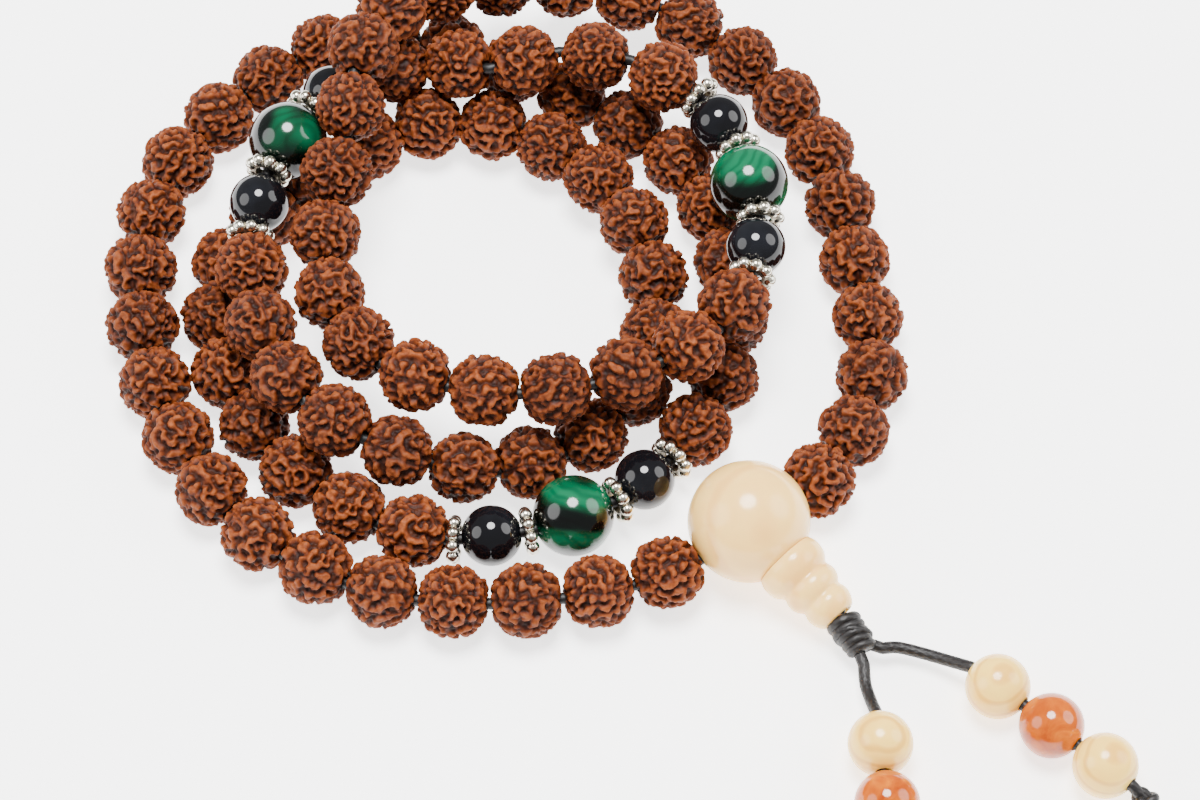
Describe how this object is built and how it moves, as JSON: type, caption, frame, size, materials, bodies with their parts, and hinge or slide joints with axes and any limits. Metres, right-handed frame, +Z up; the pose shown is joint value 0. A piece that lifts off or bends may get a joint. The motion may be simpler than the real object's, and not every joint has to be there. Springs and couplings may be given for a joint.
{
  "type": "mala prayer beads",
  "caption": "Loop of carved seeds with stone markers, a guru bead with tower and two short beaded tails, laid down in a loose coil.",
  "frame": {"origin": "on the table surface under the middle of the coil and its tails", "axes": "+Z up from the table; the tails lie towards +X and -Y"},
  "size_m": [0.103, 0.1105, 0.0189],
  "materials": {
    "rudraksha_seed": "dry, matte, deeply ridged",
    "malachite": "polished banded stone",
    "onyx": "polished black stone",
    "antique_silver": "cast, darkened in the grooves",
    "cream_resin": "polished cream with faint grain",
    "ivory_resin": "polished cream with fine grain",
    "amber_resin": "polished cloudy amber",
    "braided_cord": "dark brown-black waxed braid"
  },
  "bodies": {
    "strand": {"strand_cord": "braided_cord", "seeds_first_quarter": "rudraksha_seed", "seeds_second_run": "rudraksha_seed", "seeds_third_quarter": "rudraksha_seed", "seeds_last_quarter": "rudraksha_seed", "guru_bead": "cream_resin", "main_knot": "braided_cord"},
    "malachite_1": {"malachite_bead_1": "malachite"},
    "onyx_1": {"onyx_bead_1": "onyx"},
    "spacer_1": {"daisy_spacer_1": "antique_silver"},
    "spacer_2": {"daisy_spacer_2": "antique_silver"},
    "onyx_2": {"onyx_bead_2": "onyx"},
    "spacer_4": {"daisy_spacer_4": "antique_silver"},
    "spacer_3": {"daisy_spacer_3": "antique_silver"},
    "malachite_2": {"malachite_bead_2": "malachite"},
    "onyx_3": {"onyx_bead_3": "onyx"},
    "spacer_5": {"daisy_spacer_5": "antique_silver"},
    "spacer_6": {"daisy_spacer_6": "antique_silver"},
    "onyx_4": {"onyx_bead_4": "onyx"},
    "spacer_8": {"daisy_spacer_8": "antique_silver"},
    "spacer_7": {"daisy_spacer_7": "antique_silver"},
    "malachite_3": {"malachite_bead_3": "malachite"},
    "onyx_5": {"onyx_bead_5": "onyx"},
    "spacer_9": {"daisy_spacer_9": "antique_silver"},
    "spacer_10": {"daisy_spacer_10": "antique_silver"},
    "onyx_6": {"onyx_bead_6": "onyx"},
    "spacer_12": {"daisy_spacer_12": "antique_silver"},
    "spacer_11": {"daisy_spacer_11": "antique_silver"},
    "tower": {"guru_tower": "cream_resin"},
    "tail_right": {"tail_cord_right": "braided_cord", "tail_knot_right": "braided_cord"},
    "ivory_right_1": {"ivory_bead_right_1": "ivory_resin"},
    "amber_right": {"amber_bead_right": "amber_resin"},
    "ivory_right_2": {"ivory_bead_right_2": "ivory_resin"},
    "tail_left": {"tail_cord_left": "braided_cord", "tail_knot_left": "braided_cord"},
    "ivory_left_1": {"ivory_bead_left_1": "ivory_resin"},
    "amber_left": {"amber_bead_left": "amber_resin"},
    "ivory_left_2": {"ivory_bead_left_2": "ivory_resin"}
  },
  "joints": [
    {"name": "malachite_1_spin", "type": "hinge", "parent": "strand", "child": "malachite_1", "pos_m": [0.01514, 0.0223, 0.00988], "axis": [-0.2162, 0.975, -0.0513], "continuous": true},
    {"name": "onyx_1_spin", "type": "hinge", "parent": "strand", "child": "onyx_1", "pos_m": [0.01566, 0.0141, 0.01038], "axis": [0.1329, 0.9886, -0.0712], "continuous": true},
    {"name": "spacer_1_spin", "type": "hinge", "parent": "strand", "child": "spacer_1", "pos_m": [0.01516, 0.01045, 0.01064], "axis": [-0.2996, -0.952, 0.0631], "continuous": true},
    {"name": "spacer_2_spin", "type": "hinge", "parent": "strand", "child": "spacer_2", "pos_m": [0.01615, 0.01775, 0.01011], "axis": [0.0423, -0.9972, 0.0622], "continuous": true},
    {"name": "onyx_2_spin", "type": "hinge", "parent": "strand", "child": "onyx_2", "pos_m": [0.0122, 0.02997, 0.00985], "axis": [-0.5265, 0.8482, 0.0584], "continuous": true},
    {"name": "spacer_4_spin", "type": "hinge", "parent": "strand", "child": "spacer_4", "pos_m": [0.01026, 0.03308, 0.01006], "axis": [-0.7087, 0.7009, 0.0811], "continuous": true},
    {"name": "spacer_3_spin", "type": "hinge", "parent": "strand", "child": "spacer_3", "pos_m": [0.01413, 0.02686, 0.00963], "axis": [-0.3773, 0.9261, 0.0036], "continuous": true},
    {"name": "malachite_2_spin", "type": "hinge", "parent": "strand", "child": "malachite_2", "pos_m": [-0.03186, 0.02733, 0.01043], "axis": [-0.3877, -0.9155, 0.1072], "continuous": true},
    {"name": "onyx_3_spin", "type": "hinge", "parent": "strand", "child": "onyx_3", "pos_m": [-0.02772, 0.03428, 0.00914], "axis": [-0.6379, -0.7388, 0.2173], "continuous": true},
    {"name": "spacer_5_spin", "type": "hinge", "parent": "strand", "child": "spacer_5", "pos_m": [-0.02536, 0.037, 0.00834], "axis": [0.8199, 0.5562, -0.1355], "continuous": true},
    {"name": "spacer_6_spin", "type": "hinge", "parent": "strand", "child": "spacer_6", "pos_m": [-0.03007, 0.03156, 0.00994], "axis": [0.5197, 0.8384, -0.1644], "continuous": true},
    {"name": "onyx_4_spin", "type": "hinge", "parent": "strand", "child": "onyx_4", "pos_m": [-0.03447, 0.01962, 0.01026], "axis": [-0.2274, -0.9567, -0.182], "continuous": true},
    {"name": "spacer_8_spin", "type": "hinge", "parent": "strand", "child": "spacer_8", "pos_m": [-0.0353, 0.01614, 0.0096], "axis": [-0.0726, -0.9937, -0.0849], "continuous": true},
    {"name": "spacer_7_spin", "type": "hinge", "parent": "strand", "child": "spacer_7", "pos_m": [-0.03365, 0.0231, 0.01093], "axis": [-0.3119, -0.9494, -0.0379], "continuous": true},
    {"name": "malachite_3_spin", "type": "hinge", "parent": "strand", "child": "malachite_3", "pos_m": [-0.00262, -0.01371, 0.00415], "axis": [0.9274, 0.3739, 0.0126], "continuous": true},
    {"name": "onyx_5_spin", "type": "hinge", "parent": "strand", "child": "onyx_5", "pos_m": [-0.01061, -0.01579, 0.00383], "axis": [0.9933, 0.0908, 0.0714], "continuous": true},
    {"name": "spacer_9_spin", "type": "hinge", "parent": "strand", "child": "spacer_9", "pos_m": [-0.01426, -0.01613, 0.00357], "axis": [-0.9969, 0.07, -0.0348], "continuous": true},
    {"name": "spacer_10_spin", "type": "hinge", "parent": "strand", "child": "spacer_10", "pos_m": [-0.00695, -0.01546, 0.00409], "axis": [-0.9711, -0.2349, -0.0424], "continuous": true},
    {"name": "onyx_6_spin", "type": "hinge", "parent": "strand", "child": "onyx_6", "pos_m": [0.00441, -0.00945, 0.00402], "axis": [0.7309, 0.6806, -0.0506], "continuous": true},
    {"name": "spacer_12_spin", "type": "hinge", "parent": "strand", "child": "spacer_12", "pos_m": [0.0071, -0.00695, 0.00383], "axis": [0.6454, 0.7631, -0.0324], "continuous": true},
    {"name": "spacer_11_spin", "type": "hinge", "parent": "strand", "child": "spacer_11", "pos_m": [0.00172, -0.01196, 0.00421], "axis": [0.8437, 0.5365, -0.0194], "continuous": true},
    {"name": "tower_spin", "type": "hinge", "parent": "strand", "child": "tower", "pos_m": [0.02087, -0.02216, 0.00388], "axis": [0.6734, -0.7044, -0.2245], "continuous": true},
    {"name": "tail_right_swing", "type": "hinge", "parent": "strand", "child": "tail_right", "pos_m": [0.0273, -0.0275, 0.0022], "axis": [0, 0, 1], "range_deg": [-15, 20]},
    {"name": "ivory_right_1_spin", "type": "hinge", "parent": "tail_right", "child": "ivory_right_1", "pos_m": [0.03806, -0.03225, 0.0032], "axis": [0.7582, -0.652, 0], "continuous": true},
    {"name": "amber_right_spin", "type": "hinge", "parent": "tail_right", "child": "amber_right", "pos_m": [0.04295, -0.0365, 0.0032], "axis": [0.7516, -0.6596, 0], "continuous": true},
    {"name": "ivory_right_2_spin", "type": "hinge", "parent": "tail_right", "child": "ivory_right_2", "pos_m": [0.04777, -0.04078, 0.0032], "axis": [0.7448, -0.6672, 0], "continuous": true},
    {"name": "tail_left_swing", "type": "hinge", "parent": "strand", "child": "tail_left", "pos_m": [0.0254, -0.0294, 0.0023], "axis": [0, 0, 1], "range_deg": [-20, 15]},
    {"name": "ivory_left_1_spin", "type": "hinge", "parent": "tail_left", "child": "ivory_left_1", "pos_m": [0.0266, -0.03843, 0.0032], "axis": [0.0624, -0.9981, 0], "continuous": true},
    {"name": "amber_left_spin", "type": "hinge", "parent": "tail_left", "child": "amber_left", "pos_m": [0.027, -0.0448, 0.0032], "axis": [0.0624, -0.9981, 0], "continuous": true},
    {"name": "ivory_left_2_spin", "type": "hinge", "parent": "tail_left", "child": "ivory_left_2", "pos_m": [0.0274, -0.05117, 0.0032], "axis": [0.0624, -0.9981, 0], "continuous": true}
  ]
}
